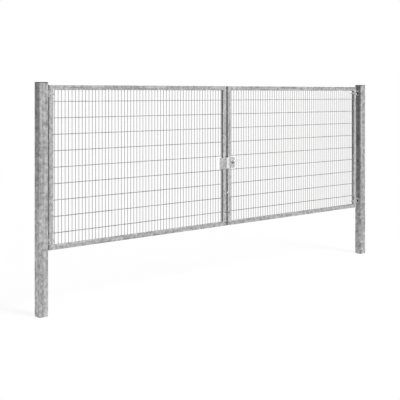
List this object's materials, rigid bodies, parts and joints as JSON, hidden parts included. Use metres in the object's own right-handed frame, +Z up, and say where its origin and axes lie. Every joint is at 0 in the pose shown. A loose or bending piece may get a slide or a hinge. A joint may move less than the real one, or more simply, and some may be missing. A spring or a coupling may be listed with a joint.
{
  "type": "double swing gate",
  "caption": "Double-leaf drive gate of double-rod mesh in welded tube frames, with adjustable hinges, lock, drop bolts and square posts.",
  "frame": {"origin": "middle of the left post's foot face", "axes": "+X along the closed gate from the left post to the right post, +Y from the gate's front to its back, where the leaves open, +Z up"},
  "size_m": [6.216, 0.15, 2.81],
  "materials": {
    "galvanised_post": "hot-dip galvanised, matt, with faint spangle",
    "galvanised_frame": "hot-dip galvanised, matt, with cloudy spangle",
    "galvanised_mesh": "hot-dip galvanised rod",
    "galvanised_hardware": "galvanised bolts, nuts and brackets",
    "stainless": "brushed stainless steel",
    "black_plastic": "matt black plastic"
  },
  "bodies": {
    "posts": {"left_post": "galvanised_post", "left_post_cap": "black_plastic", "left_hinge_brackets": "galvanised_hardware", "left_hinge_pins": "galvanised_hardware", "right_post": "galvanised_post", "right_post_cap": "black_plastic", "right_hinge_brackets": "galvanised_hardware", "right_hinge_pins": "galvanised_hardware"},
    "left_leaf": {"left_hinge_stile": "galvanised_frame", "left_meeting_stile": "galvanised_frame", "left_top_rail": "galvanised_frame", "left_bottom_rail": "galvanised_frame", "left_mesh_1": "galvanised_mesh", "left_mesh_2": "galvanised_mesh", "left_mesh_3": "galvanised_mesh", "left_mesh_4": "galvanised_mesh", "left_eye_bolts": "galvanised_hardware", "left_hinge_nuts": "galvanised_hardware", "left_keeper_plate": "galvanised_frame", "left_keeper_box": "galvanised_frame", "left_drop_guides": "black_plastic"},
    "right_leaf": {"right_hinge_stile": "galvanised_frame", "right_meeting_stile": "galvanised_frame", "right_top_rail": "galvanised_frame", "right_bottom_rail": "galvanised_frame", "right_mesh_1": "galvanised_mesh", "right_mesh_2": "galvanised_mesh", "right_mesh_3": "galvanised_mesh", "right_mesh_4": "galvanised_mesh", "right_eye_bolts": "galvanised_hardware", "right_hinge_nuts": "galvanised_hardware", "lock_front_plate": "galvanised_frame", "lock_back_plate": "galvanised_frame", "lock_case": "galvanised_frame", "lock_cover_strip": "stainless", "lock_roses": "stainless", "lock_cylinder": "stainless", "right_drop_guides": "black_plastic"},
    "left_drop_bolt": {"left_drop_bolt": "galvanised_hardware"},
    "right_drop_bolt": {"right_drop_bolt": "galvanised_hardware"},
    "lever": {"lever_handles": "stainless"}
  },
  "joints": [
    {"name": "left_leaf_swing", "type": "hinge", "parent": "posts", "child": "left_leaf", "pos_m": [0.087, 0.02, 1.775], "axis": [0, 0, 1], "range_deg": [0, 90]},
    {"name": "right_leaf_swing", "type": "hinge", "parent": "posts", "child": "right_leaf", "pos_m": [6.009, 0.02, 1.775], "axis": [0, 0, -1], "range_deg": [0, 90]},
    {"name": "left_drop_bolt_slide", "type": "slide", "parent": "left_leaf", "child": "left_drop_bolt", "axis": [0, 0, -1], "range_m": [0, 0.15]},
    {"name": "right_drop_bolt_slide", "type": "slide", "parent": "right_leaf", "child": "right_drop_bolt", "axis": [0, 0, -1], "range_m": [0, 0.15]},
    {"name": "lever_turn", "type": "hinge", "parent": "right_leaf", "child": "lever", "pos_m": [3.147, 0.02, 1.703], "axis": [0, 1, 0], "range_deg": [0, 40], "stiffness_Nm_per_rad": 1.2, "springref_deg": -45.84}
  ]
}
